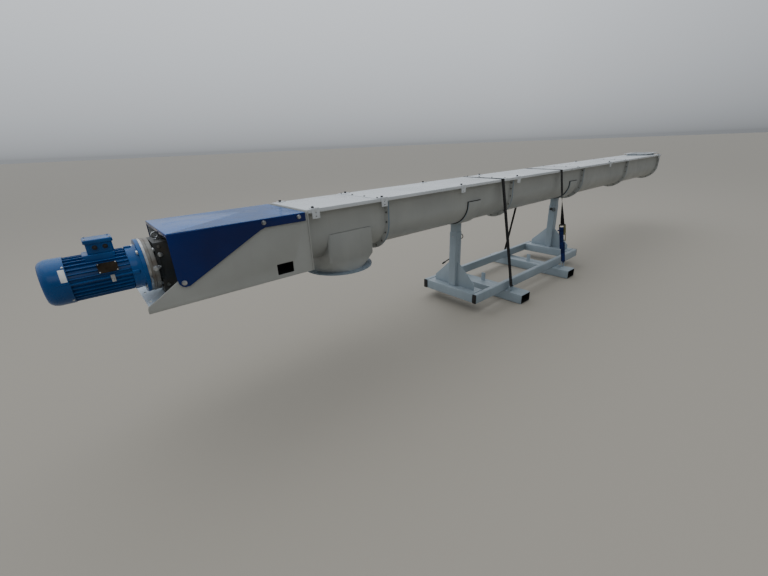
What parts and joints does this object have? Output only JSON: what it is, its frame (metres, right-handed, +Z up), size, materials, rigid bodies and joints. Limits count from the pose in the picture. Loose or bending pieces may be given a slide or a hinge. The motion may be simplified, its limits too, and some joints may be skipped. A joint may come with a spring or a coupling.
{
  "type": "trough screw conveyor on a transport stand",
  "caption": "Long U-trough screw conveyor with lids, outlet spout, geared motor drive and tail bearing, lashed on a stand with fork pockets",
  "frame": {"origin": "on the ground under the middle of the overall length, on the centre line of the trough", "axes": "+X along the trough from the drive to the tail, +Y to the far side, +Z up"},
  "size_m": [8.9326, 1.15, 1.3396],
  "materials": {
    "bare_steel": "machined steel",
    "blue_webbing": "dark blue woven webbing",
    "cover_paint": "deep blue gloss paint",
    "gearbox_paint": "dark grey painted casting",
    "lid_paint": "pale grey satin paint",
    "motor_paint": "mid blue paint",
    "ratchet_steel": "yellow zinc plate",
    "rubber": "matt black",
    "screw_steel": "mill-finish steel",
    "stand_paint": "pale blue-grey paint",
    "trough_paint": "satin grey paint",
    "webbing": "black woven webbing"
  },
  "bodies": {
    "root": {"cross_beam_1": "stand_paint", "cross_beam_2": "stand_paint", "drive_base_plate": "stand_paint", "drive_bearing": "gearbox_paint", "drive_coupling": "bare_steel", "drive_cover": "cover_paint", "drive_end_plate": "trough_paint", "drive_side_far": "trough_paint", "drive_side_near": "trough_paint", "fork_pocket_1": "stand_paint", "fork_pocket_2": "stand_paint", "gearbox_housing": "gearbox_paint", "gearbox_input_flange": "bare_steel", "inlet_collar": "lid_paint", "lid_1": "lid_paint", "lid_2": "lid_paint", "lid_3": "lid_paint", "lid_4": "lid_paint", "lid_5": "lid_paint", "locking_pin_1": "bare_steel", "locking_pin_2": "bare_steel", "long_beam_far": "stand_paint", "long_beam_near": "stand_paint", "motor_body": "motor_paint", "motor_fan_cowl": "motor_paint", "motor_terminal_box": "motor_paint", "outer_post_1": "stand_paint", "outer_post_2": "stand_paint", "outlet_spout": "trough_paint", "ratchet": "ratchet_steel", "ratchet_web": "blue_webbing", "saddle_post_1": "stand_paint", "saddle_post_2": "stand_paint", "saddle_rubber_1": "rubber", "saddle_rubber_2": "rubber", "screw_flight": "screw_steel", "screw_shaft": "screw_steel", "strap_1": "webbing", "strap_2": "webbing", "tail_bearing": "gearbox_paint", "tail_end_plate": "trough_paint", "trough_section_1": "trough_paint", "trough_section_2": "trough_paint", "trough_section_3": "trough_paint", "trough_section_4": "trough_paint", "trough_section_5": "trough_paint"}
  },
  "joints": []
}
